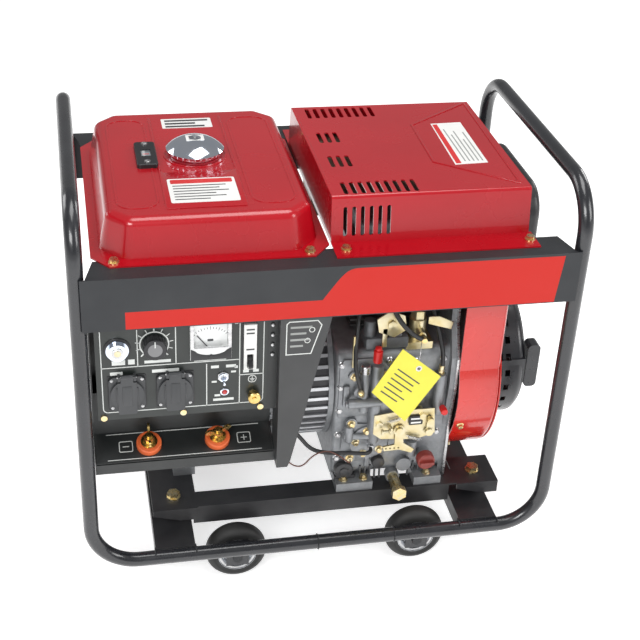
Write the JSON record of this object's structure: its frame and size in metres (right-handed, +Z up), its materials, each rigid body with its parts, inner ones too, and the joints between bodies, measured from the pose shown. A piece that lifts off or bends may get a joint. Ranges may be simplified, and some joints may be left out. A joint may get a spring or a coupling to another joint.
{
  "type": "engine driven welder",
  "caption": "Open frame diesel engine driven welder with tank, silencer cover, control panel, weld terminals and recoil start.",
  "frame": {"origin": "on the floor under the middle of the machine", "axes": "+Z up, +X along the length towards the recoil starter, +Y towards the back, the control panel facing -Y"},
  "size_m": [0.717, 0.48, 0.6565],
  "materials": {
    "frame_paint": "satin dark grey powder coat",
    "beam_paint": "satin charcoal grey powder coat",
    "red_gloss": "glossy crimson stoved enamel",
    "shroud_paint": "glossy red orange enamel",
    "panel_black": "satin black with white printed lines",
    "zinc_bolt": "yellow passivated zinc",
    "steel": "machined steel",
    "chrome_cap": "polished chrome",
    "rubber_black": "matt black moulded rubber",
    "wheel_rubber": "matt black solid tyre on a silver rim",
    "plastic_black": "fine textured black moulding",
    "plastic_grey": "mid grey moulding",
    "plastic_white": "white moulding",
    "plastic_red": "red moulding",
    "orange_moulding": "orange moulded insulator",
    "brass": "bright turned brass",
    "cast_alloy": "as cast grey alloy",
    "cast_iron": "machined cast iron",
    "card_yellow": "yellow coated card",
    "cable_black": "black and red cable sheath"
  },
  "bodies": {
    "machine_frame": {"frame_hoops": "frame_paint", "top_beams": "beam_paint", "cross_members": "frame_paint", "engine_bed": "frame_paint", "rubber_mounts": "rubber_black", "frame_bolts": "zinc_bolt", "wheel_brackets": "frame_paint", "fuel_tank": "red_gloss", "fuel_gauge": "plastic_black", "silencer_cover": "red_gloss", "silencer": "steel", "air_cleaner": "plastic_black", "cover_bolts": "zinc_bolt", "control_panel": "panel_black", "terminal_panel": "panel_black", "control_box": "panel_black", "side_plate": "beam_paint", "key_switch": "steel", "voltmeter": "plastic_white", "circuit_breaker": "plastic_white", "sockets": "plastic_black", "toggle_switch": "steel", "terminal_insulators": "orange_moulding", "terminal_studs": "brass", "alternator_stator": "cast_alloy", "crankcase": "cast_alloy", "cylinder_barrel": "cast_iron", "cylinder_head": "cast_alloy", "shroud_back_plate": "steel", "fan_shroud": "shroud_paint", "recoil_starter": "plastic_black", "injection_pump": "steel", "speed_bracket": "zinc_bolt", "drain_plug": "steel", "engine_leads": "cable_black"},
    "crank_assembly": {"crankshaft": "steel", "alternator_rotor": "steel", "flywheel": "cast_iron"},
    "recoil_grip": {"recoil_handle": "plastic_black"},
    "rope_pulley": {"recoil_pulley": "plastic_grey"},
    "front_left_wheel": {"wheel_front_left": "wheel_rubber"},
    "rear_left_wheel": {"wheel_rear_left": "wheel_rubber"},
    "front_right_wheel": {"wheel_front_right": "wheel_rubber"},
    "rear_right_wheel": {"wheel_rear_right": "wheel_rubber"},
    "cap": {"fuel_cap": "chrome_cap"},
    "key_plug": {"key_barrel": "steel"},
    "knob": {"current_knob": "plastic_grey"},
    "needle": {"voltmeter_needle": "plastic_red"},
    "breaker_toggle": {"breaker_lever": "plastic_black"},
    "left_lid": {"socket_lid_left": "plastic_black"},
    "right_lid": {"socket_lid_right": "plastic_black"},
    "toggle_bat": {"toggle_lever": "steel"},
    "minus_wing_nut": {"wing_nut_minus": "brass"},
    "plus_wing_nut": {"wing_nut_plus": "brass"},
    "earth_thumb_nut": {"earth_nut": "brass"},
    "speed_arm": {"speed_lever": "zinc_bolt"},
    "stop_arm": {"stop_lever": "plastic_red"},
    "oil_cap": {"oil_filler_cap": "plastic_black"},
    "dipstick_body": {"dipstick": "plastic_black"},
    "tag": {"hang_tag": "card_yellow"}
  },
  "joints": [
    {"name": "crank_spin", "type": "hinge", "parent": "machine_frame", "child": "crank_assembly", "pos_m": [0, -0.022, 0.278], "axis": [1, 0, 0], "continuous": true},
    {"name": "recoil_pull", "type": "slide", "parent": "machine_frame", "child": "recoil_grip", "axis": [1, 0, 0], "range_m": [0, 0.6]},
    {"name": "recoil_pulley_spin", "type": "hinge", "parent": "machine_frame", "child": "rope_pulley", "pos_m": [0, -0.022, 0.278], "axis": [1, 0, 0], "range_deg": [-10, 775]},
    {"name": "wheel_front_left_spin", "type": "hinge", "parent": "machine_frame", "child": "front_left_wheel", "pos_m": [-0.13, -0.1965, 0.047], "axis": [0, 1, 0], "continuous": true},
    {"name": "wheel_rear_left_spin", "type": "hinge", "parent": "machine_frame", "child": "rear_left_wheel", "pos_m": [-0.13, 0.1965, 0.047], "axis": [0, 1, 0], "continuous": true},
    {"name": "wheel_front_right_spin", "type": "hinge", "parent": "machine_frame", "child": "front_right_wheel", "pos_m": [0.154, -0.1965, 0.047], "axis": [0, 1, 0], "continuous": true},
    {"name": "wheel_rear_right_spin", "type": "hinge", "parent": "machine_frame", "child": "rear_right_wheel", "pos_m": [0.154, 0.1965, 0.047], "axis": [0, 1, 0], "continuous": true},
    {"name": "fuel_cap_turn", "type": "hinge", "parent": "machine_frame", "child": "cap", "pos_m": [-0.165, 0.016, 0.616], "axis": [0, 0, 1], "range_deg": [0, 90]},
    {"name": "key_turn", "type": "hinge", "parent": "machine_frame", "child": "key_plug", "pos_m": [-0.298, -0.221, 0.441], "axis": [0, 1, 0], "range_deg": [0, 90]},
    {"name": "current_turn", "type": "hinge", "parent": "machine_frame", "child": "knob", "pos_m": [-0.248, -0.221, 0.446], "axis": [0, 1, 0], "range_deg": [-135, 135]},
    {"name": "needle_swing", "type": "hinge", "parent": "machine_frame", "child": "needle", "pos_m": [-0.1715, -0.221, 0.431], "axis": [0, 1, 0], "range_deg": [0, 76], "stiffness_Nm_per_rad": 0.00002},
    {"name": "breaker_throw", "type": "hinge", "parent": "machine_frame", "child": "breaker_toggle", "pos_m": [-0.117, -0.218, 0.411], "axis": [1, 0, 0], "range_deg": [-56, 0]},
    {"name": "socket_lid_left_lift", "type": "hinge", "parent": "machine_frame", "child": "left_lid", "pos_m": [-0.287, -0.228, 0.4], "axis": [1, 0, 0], "range_deg": [-90, 0], "stiffness_Nm_per_rad": 0.02, "springref_deg": 20.05},
    {"name": "socket_lid_right_lift", "type": "hinge", "parent": "machine_frame", "child": "right_lid", "pos_m": [-0.221, -0.228, 0.4], "axis": [1, 0, 0], "range_deg": [-90, 0], "stiffness_Nm_per_rad": 0.02, "springref_deg": 20.05},
    {"name": "toggle_throw", "type": "hinge", "parent": "machine_frame", "child": "toggle_bat", "pos_m": [-0.154, -0.218, 0.386], "axis": [1, 0, 0], "range_deg": [-26, 0]},
    {"name": "wing_nut_minus_turn", "type": "hinge", "parent": "machine_frame", "child": "minus_wing_nut", "pos_m": [-0.258, -0.20248, 0.27403], "axis": [0, -0.3903, 0.9207], "range_deg": [0, 1080]},
    {"name": "wing_nut_plus_turn", "type": "hinge", "parent": "machine_frame", "child": "plus_wing_nut", "pos_m": [-0.159, -0.20248, 0.27403], "axis": [0, -0.3903, 0.9207], "range_deg": [0, 1080]},
    {"name": "earth_nut_turn", "type": "hinge", "parent": "machine_frame", "child": "earth_thumb_nut", "pos_m": [-0.111, -0.229, 0.352], "axis": [0, -1, 0], "range_deg": [0, 720]},
    {"name": "speed_lever_swing", "type": "hinge", "parent": "machine_frame", "child": "speed_arm", "pos_m": [0.124, -0.17, 0.228], "axis": [0, 1, 0], "range_deg": [-12, 20]},
    {"name": "stop_lever_swing", "type": "hinge", "parent": "machine_frame", "child": "stop_arm", "pos_m": [0.171, -0.17, 0.222], "axis": [0, 1, 0], "range_deg": [0, 35]},
    {"name": "oil_cap_turn", "type": "hinge", "parent": "machine_frame", "child": "oil_cap", "pos_m": [0.171, -0.167, 0.166], "axis": [0, -1, 0], "range_deg": [0, 720]},
    {"name": "dipstick_pull", "type": "slide", "parent": "machine_frame", "child": "dipstick_body", "axis": [0, 0, 1], "range_m": [0, 0.06]},
    {"name": "tag_swing", "type": "hinge", "parent": "machine_frame", "child": "tag", "pos_m": [0.139, -0.19, 0.353], "axis": [1, 0, 0], "range_deg": [-55, 0]}
  ],
  "couplings": [
    {"joint": "recoil_pulley_spin", "follows": "recoil_pull", "rad_per_m": 22.222}
  ]
}
